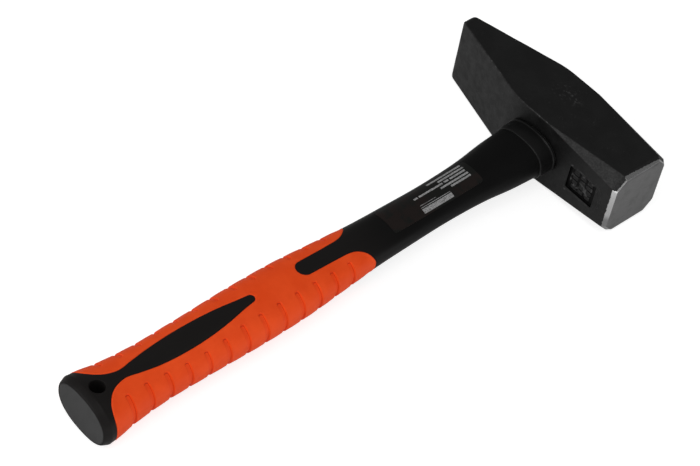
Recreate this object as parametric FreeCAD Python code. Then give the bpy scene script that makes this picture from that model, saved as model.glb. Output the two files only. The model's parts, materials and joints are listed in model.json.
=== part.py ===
"""Machinist's hammer, 2 kg class, with a cross pein and a bonded fibreglass handle.

Frame: millimetres, +Z up. The hammer lies on its side, on the lower cheek of the head.
The origin is on that cheek, below the centre of the eye. +X points to the striking face,
-X to the pein, and the handle runs along -Y to its butt.
"""

import FreeCAD, Part
import math
import os

Vec = FreeCAD.Vector

# Head: a forged block, with a wedge on one side and four facets on the other.
HEAD_TALL = 43.8
HEAD_THICK = 48.0
HALF_TALL = HEAD_TALL / 2
AXIS_Z = HEAD_THICK / 2
FACE_X = 65.4
PEIN_X = -87.0
PEIN_ROOT_X = -19.8
PEIN_TIP = 8.6
PEIN_TIP_SHIFT = 0.9
PEIN_TIP_ROUND = 3.0
PEIN_CORNER_ROUND = 4.0
PEIN_ROOT_BLEND = 60.0
FACET_START_X = 4.2
FACET_ON_CHEEK = 7.3
FACET_ON_SIDE = 7.8
FACE_BEVEL = 2.6
STAMP_X = 40.7
STAMP_Z = AXIS_Z - 0.8
STAMP_LENGTH = 21.6
STAMP_WIDTH = 18.4
STAMP_DEPTH = 1.4

# Eye: an oval hole that widens towards the top, so that the resin plug can't pull through.
EYE_BOTTOM = (15.0, 10.5)
EYE_TOP = (17.0, 12.5)
FILL_RECESS = 1.0
CORE = (12.0, 7.5)
CORE_POWER = 2.2

# Handle outside: (distance from the eye's centre, half-width along X, half-thickness along Z).
HANDLE_LENGTH = 355.4
STATIONS = [
    (HANDLE_LENGTH, 21.5, 16.7),
    (349.0, 21.3, 16.5),
    (335.0, 19.2, 14.8),
    (312.0, 17.6, 13.2),
    (285.0, 17.8, 13.1),
    (243.0, 18.7, 13.6),
    (212.0, 18.2, 13.2),
    (187.0, 16.5, 12.0),
    (162.0, 14.9, 10.9),
    (135.0, 14.1, 10.3),
    (100.0, 13.7, 10.0),
    (73.0, 14.9, 10.6),
    (52.0, 17.2, 11.9),
    (34.7, 18.3, 12.5),
]
HANDLE_POWER = 2.3
BUTT_ROUND = 1.6
NECK_Y = 34.7

# Collar and gasket between the handle and the head.
COLLAR_NECK = (18.8, 13.1)
COLLAR_HEAD = (19.8, 13.7)
COLLAR_ROUND = 0.5
SPIGOT = (15.2, 10.2)
GASKET_OUTLINE = (18.9, 12.8)
GASKET_THICK = 0.9

# Grip sleeve: a soft skin let into the jacket, with black windows and ribs on its edges.
SLEEVE_THICK = 2.6
SLEEVE_FRONT_Y = 162.3
SLEEVE_BUTT_Y = 347.2
TONGUE_HALF = 5.4
TONGUE_END_Y = 210.0
SPINDLE_TIP_Y = 240.6
SPINDLE_TIP_ROUND = 3.0
GROOVE_COUNT = 13
GROOVE_FIRST_Y = 180.4
GROOVE_PITCH = 12.88
GROOVE_WIDTH = 2.8
GROOVE_DEPTH = 0.5
GROOVE_START_X = 10.2

# Butt and shaft details.
HANG_HOLE_RADIUS = 4.4
HANG_HOLE_Y = 345.5
CORE_END_Y = 336.5
CAP_OUTLINE = (19.3, 14.7)
CAP_PLUG = (13.0, 9.0)
CAP_THICK = 1.8
CAP_DEPTH = 3.4
LABEL_FROM_Y = 74.0
LABEL_TO_Y = 144.0
LABEL_HALF = 9.0
LABEL_CORNER = 3.0
LABEL_THICK = 0.15

REACH = 40.0
OVAL_POINTS = 16


def oval(half_x, half_z, y, power=2.0):
    """Closed superellipse around the handle's axis, in the plane at distance y below the eye."""
    points = []
    for i in range(OVAL_POINTS):
        angle = 2 * math.pi * i / OVAL_POINTS
        c, s = math.cos(angle), math.sin(angle)
        x = half_x * math.copysign(abs(c) ** (2 / power), c)
        z = half_z * math.copysign(abs(s) ** (2 / power), s)
        points.append(Vec(x, -y, AXIS_Z + z))
    curve = Part.BSplineCurve()
    curve.interpolate(points, PeriodicFlag=True)
    return Part.Wire(curve.toShape())


def oval_bar(lower, upper, y_from, y_to, power=2.0):
    """Straight bar between two ovals, each given as (half-width, half-thickness)."""
    wires = [oval(*lower, y_from, power), oval(*upper, y_to, power)]
    return Part.makeLoft(wires, True, True)


def handle_body(offset=0.0):
    """The handle's outside, grown or shrunk by an even offset."""
    wires = [oval(a + offset, t + offset, y, HANDLE_POWER) for y, a, t in STATIONS]
    return Part.makeLoft(wires, True, False)


def slab(y_from, y_to, half_x=REACH):
    """Box across the handle between two distances from the eye."""
    corner = Vec(-half_x, -y_to, AXIS_Z - REACH)
    return Part.makeBox(2 * half_x, y_to - y_from, 2 * REACH, corner)


def upright_prism(edges):
    """Closed outline in the XY plane, pushed up through the whole handle."""
    face = Part.Face(Part.Wire(edges))
    face.translate(Vec(0, 0, AXIS_Z - REACH))
    return face.extrude(Vec(0, 0, 2 * REACH))


def smooth(points):
    curve = Part.BSplineCurve()
    curve.interpolate([Vec(x, -y, 0) for x, y in points])
    return curve.toShape()


def polyline(points):
    return Part.makePolygon([Vec(x, -y, 0) for x, y in points]).Edges


def arc(start, middle, end):
    return Part.Arc(*[Vec(x, -y, 0) for x, y in (start, middle, end)]).toShape()


def mirrored(points):
    return [(-x, y) for x, y in reversed(points)]


def butt_window():
    """Black butt end, running through a narrow neck into a spindle that ends in a round tip."""
    spread = [(15.5, SLEEVE_BUTT_Y), (8.6, 342.6), (5.4, 338.2), (3.1, 329.8)]
    spindle = [(4.6, 320.0), (6.4, 309.0), (7.4, 292.0), (6.9, 274.0), (5.4, 261.0)]
    tip_y = SPINDLE_TIP_Y + SPINDLE_TIP_ROUND
    side = spread + spindle + [(SPINDLE_TIP_ROUND, tip_y)]
    outside = [(REACH, SLEEVE_BUTT_Y), (REACH, 400.0), (-REACH, 400.0), (-REACH, SLEEVE_BUTT_Y)]
    edges = [smooth(side)]
    edges.append(arc(side[-1], (0, SPINDLE_TIP_Y), (-SPINDLE_TIP_ROUND, tip_y)))
    edges.append(smooth(mirrored(side)))
    edges += polyline([side[0]] + outside + [(-side[0][0], SLEEVE_BUTT_Y)])
    return upright_prism(Part.sortEdges(edges)[0])


def front_window():
    """Black shaft, running into a straight tongue with a round end between two round lobes."""
    end_y = TONGUE_END_Y - TONGUE_HALF
    lobe = [(TONGUE_HALF, 184.0), (6.6, 176.0), (9.4, 169.0), (13.2, 164.8), (17.0, SLEEVE_FRONT_Y)]
    edges = [smooth(lobe), smooth(mirrored(lobe))]
    edges += polyline([lobe[0], (TONGUE_HALF, end_y)])
    edges += polyline([(-TONGUE_HALF, end_y), (-TONGUE_HALF, lobe[0][1])])
    edges.append(arc((TONGUE_HALF, end_y), (0, TONGUE_END_Y), (-TONGUE_HALF, end_y)))
    edges += polyline([lobe[-1], (REACH, 150.0), (-REACH, 150.0), (-lobe[-1][0], SLEEVE_FRONT_Y)])
    return upright_prism(Part.sortEdges(edges)[0])


def half_sizes(y):
    """Half-width and half-thickness of the handle at one distance from the eye."""
    for (far_y, far_x, far_z), (near_y, near_x, near_z) in zip(STATIONS, STATIONS[1:]):
        if near_y <= y <= far_y:
            share = (y - near_y) / (far_y - near_y)
            return near_x + share * (far_x - near_x), near_z + share * (far_z - near_z)
    raise ValueError(f"{y} mm is off the handle")


def groove_cutters():
    """Two blocks for each rib groove, one on each edge, with floors that follow the handle."""
    cutters = []
    for i in range(GROOVE_COUNT):
        y = GROOVE_FIRST_Y + GROOVE_PITCH * i
        floor = [size - GROOVE_DEPTH for size in half_sizes(y)]
        low, high = y - GROOVE_WIDTH / 2, y + GROOVE_WIDTH / 2
        ring = slab(low, high).cut(oval_bar(floor, floor, high, low, HANDLE_POWER))
        cutters.append(ring.cut(slab(low, high, GROOVE_START_X)))
    return cutters


def grip_sleeve(outside, windows):
    skin = outside.cut(handle_body(-SLEEVE_THICK))
    skin = skin.common(slab(SLEEVE_FRONT_Y - 5, SLEEVE_BUTT_Y))
    for window in windows:
        skin = skin.cut(window)
    return skin


def facet_cutters():
    """Four planes that turn the block's section into an octagon towards the striking face."""
    cutters = []
    run = FACE_X - FACET_START_X
    for side_y in (-1, 1):
        for side_z in (-1, 1):
            start = Vec(FACET_START_X, side_y * HALF_TALL, AXIS_Z + side_z * AXIS_Z)
            on_cheek = start + Vec(run, -side_y * FACET_ON_CHEEK, 0)
            on_side = start + Vec(run, 0, -side_z * FACET_ON_SIDE)
            along = ((on_side + on_cheek) * 0.5 - start).normalize()
            across = (on_cheek - on_side).normalize()
            outward = along.cross(across)
            if outward.dot(Vec(0, side_y, side_z)) < 0:
                outward = -outward
            size = 3 * HEAD_THICK
            corner = start - along * size - across * size
            quad = [corner, corner + along * 2 * size]
            quad += [corner + along * 2 * size + across * 2 * size, corner + across * 2 * size]
            face = Part.Face(Part.makePolygon(quad + [quad[0]]))
            cutters.append(face.extrude(outward * HEAD_THICK))
    return cutters


def edges_at(shape, test):
    """The shape's straight edges whose middle point passes the test."""
    found = []
    for edge in shape.Edges:
        if test(edge.CenterOfMass, edge):
            found.append(edge)
    return found


def head_block():
    """The forging before its eye and stamp: wedge, facets, bevelled face and rounded pein."""
    low_tip, high_tip = PEIN_TIP_SHIFT - PEIN_TIP / 2, PEIN_TIP_SHIFT + PEIN_TIP / 2
    outline = [(PEIN_X, low_tip), (PEIN_ROOT_X, -HALF_TALL), (FACE_X, -HALF_TALL)]
    outline += [(FACE_X, HALF_TALL), (PEIN_ROOT_X, HALF_TALL), (PEIN_X, high_tip)]
    points = [Vec(x, y, 0) for x, y in outline]
    block = Part.Face(Part.makePolygon(points + [points[0]])).extrude(Vec(0, 0, HEAD_THICK))
    root = edges_at(block, lambda c, e: abs(c.x - PEIN_ROOT_X) < 0.1)
    block = block.makeFillet(PEIN_ROOT_BLEND, root)
    corners = edges_at(block, lambda c, e: c.x < PEIN_X + 0.1 and abs(c.y - PEIN_TIP_SHIFT) < 0.1)
    block = block.makeFillet(PEIN_CORNER_ROUND, corners)
    tips = edges_at(block, lambda c, e: c.x < PEIN_X + 0.1 and min(c.y - low_tip, high_tip - c.y) < 0.1)
    block = block.makeFillet(PEIN_TIP_ROUND, tips)
    for cutter in facet_cutters():
        block = block.cut(cutter)
    rim = edges_at(block, lambda c, e: c.x > FACE_X - 0.01)
    return block.makeChamfer(FACE_BEVEL, rim)


def eye_bar():
    """The space inside the eye, a little longer than the head is high."""
    return oval_bar(EYE_BOTTOM, EYE_TOP, HALF_TALL, -HALF_TALL)


def hammer_head():
    head = head_block().cut(eye_bar())
    corner = Vec(STAMP_X - STAMP_LENGTH / 2, -HALF_TALL - 1, STAMP_Z - STAMP_WIDTH / 2)
    return head.cut(Part.makeBox(STAMP_LENGTH, STAMP_DEPTH + 1, STAMP_WIDTH, corner))


def fibreglass_core():
    return oval_bar(CORE, CORE, CORE_END_Y, FILL_RECESS - HALF_TALL, CORE_POWER)


def eye_resin(core):
    fill = eye_bar().cut(core)
    top_gap = Part.makeBox(2 * REACH, FILL_RECESS, 2 * REACH, Vec(-REACH, HALF_TALL - FILL_RECESS, 0))
    return fill.cut(top_gap)


def eye_gasket(core):
    bottom = HALF_TALL + GASKET_THICK
    ring = oval_bar(GASKET_OUTLINE, GASKET_OUTLINE, bottom, HALF_TALL, HANDLE_POWER)
    return ring.cut(core)


def neck_collar():
    top = HALF_TALL + GASKET_THICK
    ring = oval_bar(COLLAR_NECK, COLLAR_HEAD, NECK_Y, top, HANDLE_POWER)
    ends = edges_at(ring, lambda c, e: e.Length > REACH)
    ring = ring.makeFillet(COLLAR_ROUND, ends)
    return ring.cut(oval_bar(SPIGOT, SPIGOT, NECK_Y + 1, top - 1, HANDLE_POWER))


def end_cap():
    """Oval plate let in flush with the butt, with a plug behind it."""
    plate_y = HANDLE_LENGTH - CAP_THICK
    plate = oval_bar(CAP_OUTLINE, CAP_OUTLINE, HANDLE_LENGTH, plate_y, HANDLE_POWER)
    plug = oval_bar(CAP_PLUG, CAP_PLUG, plate_y, HANDLE_LENGTH - CAP_DEPTH, HANDLE_POWER)
    return plate.fuse(plug)


def shaft_jacket(outside, sleeve, core, cap):
    """Moulded handle: everything inside the outline that no other piece fills."""
    rim = edges_at(outside, lambda c, e: abs(c.y + HANDLE_LENGTH) < 0.01)
    jacket = outside.makeFillet(BUTT_ROUND, rim)
    top = HALF_TALL + GASKET_THICK
    jacket = jacket.fuse(oval_bar(SPIGOT, SPIGOT, NECK_Y, top, HANDLE_POWER))
    hole = Part.makeCylinder(HANG_HOLE_RADIUS, 2 * REACH, Vec(0, -HANG_HOLE_Y, AXIS_Z - REACH))
    for other in (sleeve, core, cap, hole):
        jacket = jacket.cut(other)
    return jacket


def label_film(outside):
    """Thin printed film on the shaft's upper side, with rounded corners."""
    x, r = LABEL_HALF, LABEL_CORNER
    plate = Part.makeBox(2 * x, LABEL_TO_Y - LABEL_FROM_Y, REACH, Vec(-x, -LABEL_TO_Y, AXIS_Z))
    upright = edges_at(plate, lambda c, e: abs(e.Length - REACH) < 0.01)
    plate = plate.makeFillet(r, upright)
    return handle_body(LABEL_THICK).cut(outside).common(plate)


def build():
    outside = handle_body()
    windows = [butt_window(), front_window()]
    core = fibreglass_core()
    cap = end_cap()
    sleeve = grip_sleeve(outside, windows)
    nodes = {
        "hammer_head": hammer_head(),
        "fibreglass_core": core,
        "eye_resin": eye_resin(core),
        "eye_gasket": eye_gasket(core),
        "neck_collar": neck_collar(),
        "shaft_jacket": shaft_jacket(outside, sleeve, core, cap),
        "grip_sleeve": sleeve.cut(Part.makeCompound(groove_cutters())),
        "end_cap": cap,
        "label_film": label_film(outside),
    }
    os.makedirs("parts", exist_ok=True)
    for name, shape in nodes.items():
        solid = Part.makeCompound(shape.Solids)
        print(name, len(shape.Solids), "solid(s)", round(shape.Volume), "mm3", shape.isValid())
        solid.exportStep(f"parts/{name}.step")


build()
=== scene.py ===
"""Looks of a machinist's hammer with a bonded fibreglass handle.

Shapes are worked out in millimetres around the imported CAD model, and become metres when a
mesh is made. "Down" is the distance along the handle, from the centre of the eye to the butt.
"""

import json
import math

import bmesh
import bpy
import numpy as np
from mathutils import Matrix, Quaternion, Vector, noise

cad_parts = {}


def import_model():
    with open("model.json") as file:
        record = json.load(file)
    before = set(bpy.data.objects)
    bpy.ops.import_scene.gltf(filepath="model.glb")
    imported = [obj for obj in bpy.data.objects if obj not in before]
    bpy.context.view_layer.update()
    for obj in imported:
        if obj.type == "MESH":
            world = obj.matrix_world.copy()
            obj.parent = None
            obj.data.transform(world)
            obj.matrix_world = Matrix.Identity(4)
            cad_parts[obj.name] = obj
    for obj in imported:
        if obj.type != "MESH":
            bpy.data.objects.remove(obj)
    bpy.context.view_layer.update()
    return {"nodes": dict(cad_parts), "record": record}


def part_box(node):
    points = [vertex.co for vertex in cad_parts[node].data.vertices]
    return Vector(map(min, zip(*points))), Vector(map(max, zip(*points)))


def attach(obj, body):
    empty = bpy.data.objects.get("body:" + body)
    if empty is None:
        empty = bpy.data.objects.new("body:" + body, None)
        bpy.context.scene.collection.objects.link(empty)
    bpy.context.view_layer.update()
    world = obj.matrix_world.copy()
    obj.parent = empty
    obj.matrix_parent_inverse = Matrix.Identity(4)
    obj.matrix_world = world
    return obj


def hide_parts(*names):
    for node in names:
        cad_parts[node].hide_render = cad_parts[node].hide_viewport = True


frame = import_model()

MM = 0.001


def box_mm(node):
    low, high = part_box(node)
    return np.array(low) / MM, np.array(high) / MM


# ---------------------------------------------------------------- sizes taken from the frame

HEAD_LOW, HEAD_HIGH = box_mm("hammer_head")
HALF_TALL = (HEAD_HIGH[1] - HEAD_LOW[1]) / 2
AXIS_Z = (HEAD_LOW[2] + HEAD_HIGH[2]) / 2
HALF_THICK = (HEAD_HIGH[2] - HEAD_LOW[2]) / 2
FACE_X = HEAD_HIGH[0]
PEIN_X = HEAD_LOW[0]
COLLAR_LOW, COLLAR_HIGH = box_mm("neck_collar")
COLLAR_START = -COLLAR_HIGH[1]
COLLAR_END = -COLLAR_LOW[1]
JACKET_LOW = box_mm("shaft_jacket")[0]
BUTT = -JACKET_LOW[1]
LABEL_LOW, LABEL_HIGH = box_mm("label_film")
HOLE = next(m for m in frame["record"]["mounts"] if m["name"] == "hang_hole")
HOLE_DOWN = -HOLE["pos_m"][1] / MM
HOLE_RADIUS = HOLE["dims"]["r_mm"]

# ---------------------------------------------------------------- smaller sizes, in millimetres

# Handle outside: (down, half-width, half-thickness), as in the CAD model.
STATIONS = [
    (34.7, 18.3, 12.5), (52.0, 17.2, 11.9), (73.0, 14.9, 10.6), (100.0, 13.7, 10.0),
    (135.0, 14.1, 10.3), (162.0, 14.9, 10.9), (187.0, 16.5, 12.0), (212.0, 18.2, 13.2),
    (243.0, 18.7, 13.6), (285.0, 17.8, 13.1), (312.0, 17.6, 13.2), (335.0, 19.2, 14.8),
    (349.0, 21.3, 16.5), (BUTT, 21.5, 16.7),
]
HANDLE_POWER = 2.3

# Outline of the black windows in the orange grip: (down, half-width of the window). The front
# window ends in a round tongue, and the rear one starts with a round tip.
TONGUE_HALF = 5.3
TONGUE_END = 209.8
TONGUE_ROUND_FROM = TONGUE_END - TONGUE_HALF
FRONT_WINDOW = [
    (161.9, 16.5), (162.4, 14.9), (163.9, 13.5), (165.5, 11.4), (167.9, 9.2), (171.7, 6.9),
    (176.0, 5.8), (183.0, 5.5), (TONGUE_ROUND_FROM, TONGUE_HALF),
]
TIP_ROUND = 2.7
TIP_DOWN = 240.6
REAR_WINDOW = [
    (TIP_DOWN + TIP_ROUND, TIP_ROUND), (250.0, 3.6), (261.0, 5.5), (274.0, 6.9), (292.0, 7.4),
    (309.0, 6.3), (320.0, 4.6), (329.8, 3.05), (338.2, 5.4), (342.7, 8.7), (346.0, 12.9),
    (347.5, 17.0), (348.1, 22.5),
]

# The jacket lies this deep under the orange skin, which leaves a thin gap along the windows.
SLEEVE_SINK = 2.6
SLEEVE_SHELL = 1.6
PARTING_GAP = 0.07
LIP_ROUND = 0.45
LAND_ROUND = 0.3

# Rib grooves: shallow channels with round ends, which keep clear of the windows.
GROOVE_COUNT = 13
GROOVE_FIRST = 180.4
GROOVE_PITCH = 12.88
GROOVE_HALF = 1.55
GROOVE_WALL = 0.38
GROOVE_DEPTH = 1.0
# Where the grooves end: (down, distance from the handle's middle plane).
GROOVE_END_X = [
    (180.4, 9.8), (245.0, 10.0), (258.0, 10.2), (271.0, 11.4), (290.0, 12.0), (303.0, 11.3),
    (316.0, 10.1), (325.0, 10.2), (335.0, 11.0),
]

# The skin bulges between two grooves, fully so beyond CROWN_FULL from the handle's middle plane.
CROWN = 0.25
CROWN_FROM = 8.0
CROWN_FULL = 13.5
GROOVE_RIM = 0.07
WINDOW_RIM = 0.12


# ---------------------------------------------------------------- mesh tools

def shade(mesh, sharp_degrees):
    """Smooth shading that stays sharp at the steeper edges."""
    mesh.shade_smooth()
    mesh.set_sharp_from_angle(angle=math.radians(sharp_degrees))


def finish_mesh(piece, sharp_degrees):
    """Merges doubled points, turns the faces outwards and shades them."""
    mesh = piece.data
    work = bmesh.new()
    work.from_mesh(mesh)
    bmesh.ops.remove_doubles(work, verts=work.verts, dist=2e-6)
    bmesh.ops.dissolve_degenerate(work, edges=work.edges, dist=1e-6)
    bmesh.ops.recalc_face_normals(work, faces=work.faces)
    work.to_mesh(mesh)
    work.free()
    shade(mesh, sharp_degrees)


def make_piece(name, points, faces, sharp_degrees):
    mesh = bpy.data.meshes.new(name)
    mesh.from_pydata((np.asarray(points) * MM).tolist(), [], faces)
    piece = bpy.data.objects.new(name, mesh)
    bpy.context.scene.collection.objects.link(piece)
    finish_mesh(piece, sharp_degrees)
    return piece


def skin(name, rows, caps=False, closed=True, sharp_degrees=35):
    """Quads between rows of points, all of one length. A row is a loop, unless closed is False."""
    rows = np.asarray(rows)
    count, around = rows.shape[:2]
    faces = []
    for i in range(count - 1):
        for j in range(around if closed else around - 1):
            k = (j + 1) % around
            here, there = i * around, (i + 1) * around
            faces.append((here + j, here + k, there + k, there + j))
    if caps:
        faces.append(tuple(range(around)))
        faces.append(tuple(range((count - 1) * around, count * around)))
    return make_piece(name, rows.reshape(-1, 3), faces, sharp_degrees)


def bake(piece):
    """Applies the piece's modifiers."""
    bpy.context.view_layer.update()
    evaluated = piece.evaluated_get(bpy.context.evaluated_depsgraph_get())
    mesh = bpy.data.meshes.new_from_object(evaluated)
    piece.modifiers.clear()
    piece.data = mesh


def thicken(piece, depth):
    """Makes a sheet into a shell, with the sheet as its outside."""
    shell = piece.modifiers.new("shell", "SOLIDIFY")
    shell.thickness = depth * MM
    shell.offset = -1
    bake(piece)
    finish_mesh(piece, sharp_degrees=50)


def cut(piece, cutter):
    change = piece.modifiers.new("cut", "BOOLEAN")
    change.operation = "DIFFERENCE"
    change.solver = "EXACT"
    change.object = cutter
    bake(piece)
    bpy.data.objects.remove(cutter)
    shade(piece.data, 35)


def join(target, others):
    """Adds the other pieces' meshes to the target's mesh."""
    work = bmesh.new()
    work.from_mesh(target.data)
    for other in others:
        work.from_mesh(other.data)
        bpy.data.objects.remove(other)
    work.to_mesh(target.data)
    work.free()


def curve_through(points):
    """Smooth function that passes through (place, value) points."""
    xs, ys = (np.array(column, dtype=float) for column in zip(*points))
    slopes = np.gradient(ys, xs)

    def value(x):
        i = np.clip(np.searchsorted(xs, x) - 1, 0, len(xs) - 2)
        span = xs[i + 1] - xs[i]
        t = np.clip((x - xs[i]) / span, 0, 1)
        start = (1 + 2 * t) * (1 - t) ** 2 * ys[i] + t * (1 - t) ** 2 * span * slopes[i]
        end = t * t * (3 - 2 * t) * ys[i + 1] + t * t * (t - 1) * span * slopes[i + 1]
        return start + end

    return value


def smoothstep(low, high, x):
    t = np.clip((np.asarray(x, dtype=float) - low) / (high - low), 0, 1)
    return t * t * (3 - 2 * t)


# ---------------------------------------------------------------- the handle's surface

half_width = curve_through([(down, a) for down, a, t in STATIONS])
half_thick = curve_through([(down, t) for down, a, t in STATIONS])
groove_end = curve_through(GROOVE_END_X)
# Turns an angle round the handle into a rough distance on its surface.
ARC_SCALE = 17.0
QUARTER = math.pi / 2


def oval(angles, half_x, half_z):
    """The handle's section, an ellipse with squarer shoulders."""
    c, s = np.cos(angles), np.sin(angles)
    x = half_x * np.sign(c) * np.abs(c) ** (2 / HANDLE_POWER)
    z = half_z * np.sign(s) * np.abs(s) ** (2 / HANDLE_POWER)
    return x, z


def handle_points(angles, down, offset):
    """Points of the handle's outside, moved outwards by an offset. All inputs may be arrays."""
    x, z = oval(angles, half_width(down) + offset, half_thick(down) + offset)
    return np.stack([x, np.broadcast_to(-down, x.shape), AXIS_Z + z], axis=-1)


def round_from_edge(angles):
    """Distance round from the handle's nearer edge, in the unrolled surface."""
    return np.arcsin(np.abs(np.sin(angles))) * ARC_SCALE


def flowing(points):
    """Smooth curve through the points, as two arrays. It may turn steeply."""
    samples = 300
    points = np.array(points, dtype=float)
    steps = np.linalg.norm(np.diff(points, axis=0), axis=1) ** 0.7
    places = np.concatenate([[0], np.cumsum(steps)])
    along = np.linspace(0, places[-1], samples)
    return [curve_through(list(zip(places, points[:, axis])))(along) for axis in (0, 1)]


def window_outline():
    """The windows' half-width all along the grip, with a round end on the tongue and on the spindle."""
    bend = np.linspace(0, QUARTER, 40)
    front_down, front_half = flowing(FRONT_WINDOW)
    rear_down, rear_half = flowing(REAR_WINDOW)
    tongue = (TONGUE_ROUND_FROM + TONGUE_HALF * np.sin(bend), TONGUE_HALF * np.cos(bend))
    tip = (TIP_DOWN + TIP_ROUND * (1 - np.cos(bend)), TIP_ROUND * np.sin(bend))
    downs = np.concatenate([front_down, tongue[0], tip[0], rear_down])
    halves = np.concatenate([front_half, tongue[1], tip[1], rear_half])
    return downs, halves


WINDOW_DOWNS, WINDOW_HALVES = window_outline()


def window_half(down):
    """Half-width of the black window at one distance down, 0 where the orange is unbroken."""
    if TONGUE_END <= down <= TIP_DOWN:
        return 0.0
    return float(np.interp(down, WINDOW_DOWNS, WINDOW_HALVES))


def window_angle(down):
    """Angle from the handle's edge to the window's edge: 0 is all black, a quarter all orange."""
    share = min(window_half(down) / float(half_width(down)), 1.0)
    return math.acos(share ** (HANDLE_POWER / 2))


def edge_crossing(black, orange):
    """Where the window's outline meets the handle's edge, between a black and an orange place."""
    for _ in range(40):
        middle = (black + orange) / 2
        if window_angle(middle) > 0:
            orange = middle
        else:
            black = middle
    return orange


SLEEVE_FROM = edge_crossing(FRONT_WINDOW[0][0], FRONT_WINDOW[5][0])
SLEEVE_TO = edge_crossing(REAR_WINDOW[-1][0], REAR_WINDOW[-4][0])


# Rows lie closer together along this much of the sleeve's two ends, and across a groove's wall.
FRONT_CROWDED = 2.5
REAR_CROWDED = 1.5
WALL_ROWS = np.array([0.0, 0.85, 1.15, 1.28, 1.42, 1.56, 1.8, 2.4])
LEAST_STEP = 0.04


def grip_rows(step, grooves=False):
    """Distances down the grip, closer together round the windows' ends and at the groove walls."""
    rows = list(np.arange(SLEEVE_FROM, SLEEVE_TO, step))
    steps = np.linspace(0, QUARTER, 10)
    rows += list(SLEEVE_FROM + FRONT_CROWDED * (1 - np.cos(steps)))
    rows += list(TONGUE_ROUND_FROM + TONGUE_HALF * np.sin(steps))
    rows += list(TIP_DOWN + TIP_ROUND * (1 - np.cos(steps)))
    rows += list(SLEEVE_TO - REAR_CROWDED * (1 - np.cos(steps)))
    if grooves:
        for i in range(GROOVE_COUNT):
            middle = GROOVE_FIRST + GROOVE_PITCH * i
            rows = [row for row in rows if abs(row - middle) > WALL_ROWS[-1] + 0.3]
            rows += list(middle + WALL_ROWS) + list(middle - WALL_ROWS[1:])
    rows = sorted(row for row in rows if SLEEVE_FROM <= row <= SLEEVE_TO)
    kept = [rows[0]]
    for row in rows[1:]:
        if row - kept[-1] > LEAST_STEP:
            kept.append(row)
    kept[-1] = SLEEVE_TO
    return kept


# Spacing of the jacket's rows beside the grip, and of the outlines that its edges follow.
JACKET_STEP = 0.8


def unrolled_outlines():
    """Both windows' outlines, unrolled: distance round from the handle's edge, distance down."""
    rows = grip_rows(JACKET_STEP)
    front = [down for down in rows if down <= TONGUE_END]
    rear = [down for down in rows if down >= TIP_DOWN]
    return [np.array([(window_angle(d) * ARC_SCALE, d) for d in part]) for part in (front, rear)]


OUTLINES = unrolled_outlines()


def outline_distance(angles, down):
    """How far each point lies from the nearest window outline, in the unrolled surface."""
    here = np.stack([round_from_edge(angles), down], axis=-1)[..., None, :]
    nearest = np.full(angles.shape, np.inf)
    for outline in OUTLINES:
        start, step = outline[:-1], np.diff(outline, axis=0)
        length = np.maximum((step ** 2).sum(axis=1), 1e-9)
        along = np.clip(((here - start) * step).sum(axis=-1) / length, 0, 1)
        gap = np.linalg.norm(here - start - along[..., None] * step, axis=-1)
        nearest = np.minimum(nearest, gap.min(axis=-1))
    return nearest


def rounded_drop(distance, radius):
    """How far a rounded edge falls away, by distance from the edge."""
    inside = np.clip(radius - distance, 0, radius)
    return radius - np.sqrt(np.maximum(radius ** 2 - inside ** 2, 0))


def all_round(quarter):
    """A quarter's angles, mirrored into the whole way round."""
    left = math.pi - quarter[::-1]
    return np.concatenate([quarter, left[1:], math.pi + quarter[1:], 2 * math.pi - quarter[::-1][1:-1]])


# ---------------------------------------------------------------- orange grip sleeve

def sleeve_offset(angles, down):
    """Crowned segments, rib grooves with round ends, and a rolled lip along the windows."""
    from_middle = np.abs(handle_points(angles, down, 0.0)[..., 0])
    start = (groove_end(down) / half_width(down)) ** (HANDLE_POWER / 2)
    groove_reach = np.arccos(np.clip(start, 0, 1)) * ARC_SCALE - GROOVE_HALF
    beyond = np.maximum(round_from_edge(angles) - groove_reach, 0)
    turn = (down - GROOVE_FIRST) / GROOVE_PITCH
    nearest = np.clip(np.round(turn), 0, GROOVE_COUNT - 1)
    across = (turn - nearest) * GROOVE_PITCH
    reach = np.hypot(beyond, across)
    groove = GROOVE_DEPTH * (1 - smoothstep(GROOVE_HALF - GROOVE_WALL, GROOVE_HALF, reach))
    groove_rim = GROOVE_RIM * np.exp(-((reach - GROOVE_HALF - 0.4) / 0.4) ** 2)
    crown_share = np.clip(1 - (2 * np.abs(across) / GROOVE_PITCH - 1) ** 2, 0, 1)
    crown = CROWN * crown_share * smoothstep(CROWN_FROM, CROWN_FULL, from_middle)
    edge = outline_distance(angles, down)
    window_rim = WINDOW_RIM * np.exp(-((edge - 0.8) / 0.55) ** 2)
    return crown + groove_rim - groove + window_rim - rounded_drop(edge, LIP_ROUND)


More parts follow.
